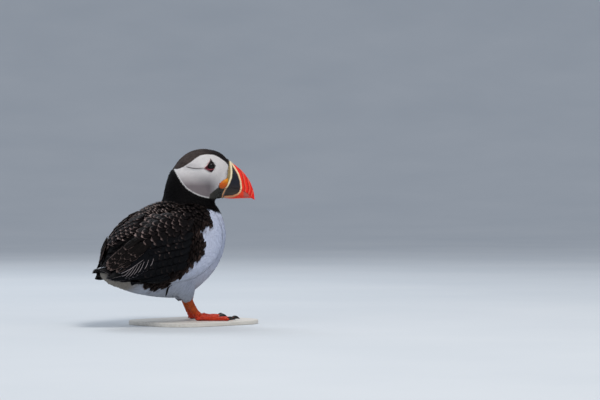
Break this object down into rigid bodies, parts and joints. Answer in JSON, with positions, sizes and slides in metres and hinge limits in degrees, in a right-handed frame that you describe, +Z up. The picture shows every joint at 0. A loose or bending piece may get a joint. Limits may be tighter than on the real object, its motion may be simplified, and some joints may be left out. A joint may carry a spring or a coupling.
{
  "type": "seabird model",
  "caption": "Still life-size model of an Atlantic puffin standing with its head turned to its right, on a plain flat base.",
  "frame": {"origin": "floor level under the middle of the whole's box", "axes": "+X is where the breast points, +Y is the bird's left, +Z is up"},
  "size_m": [0.1854, 0.1, 0.1761],
  "materials": {
    "black_feathers": "short glossy feathers",
    "white_feathers": "soft matte feathers",
    "face_feathers": "short velvety feathers",
    "bill_horn": "grooved horn, half gloss",
    "leg_skin": "scaled skin",
    "eye": "wet gloss",
    "stand_wood": "matte paint"
  },
  "bodies": {
    "root": {"head": "face_feathers", "neck": "black_feathers", "trunk": "white_feathers", "rump": "black_feathers", "tail": "black_feathers", "wing_left": "black_feathers", "wing_right": "black_feathers", "thigh_left": "white_feathers", "thigh_right": "white_feathers", "leg_left": "leg_skin", "leg_right": "leg_skin", "foot_left": "leg_skin", "foot_right": "leg_skin", "bill_upper": "bill_horn", "bill_lower": "bill_horn", "eye_left": "eye", "eye_right": "eye", "stand_base": "stand_wood"}
  },
  "joints": []
}
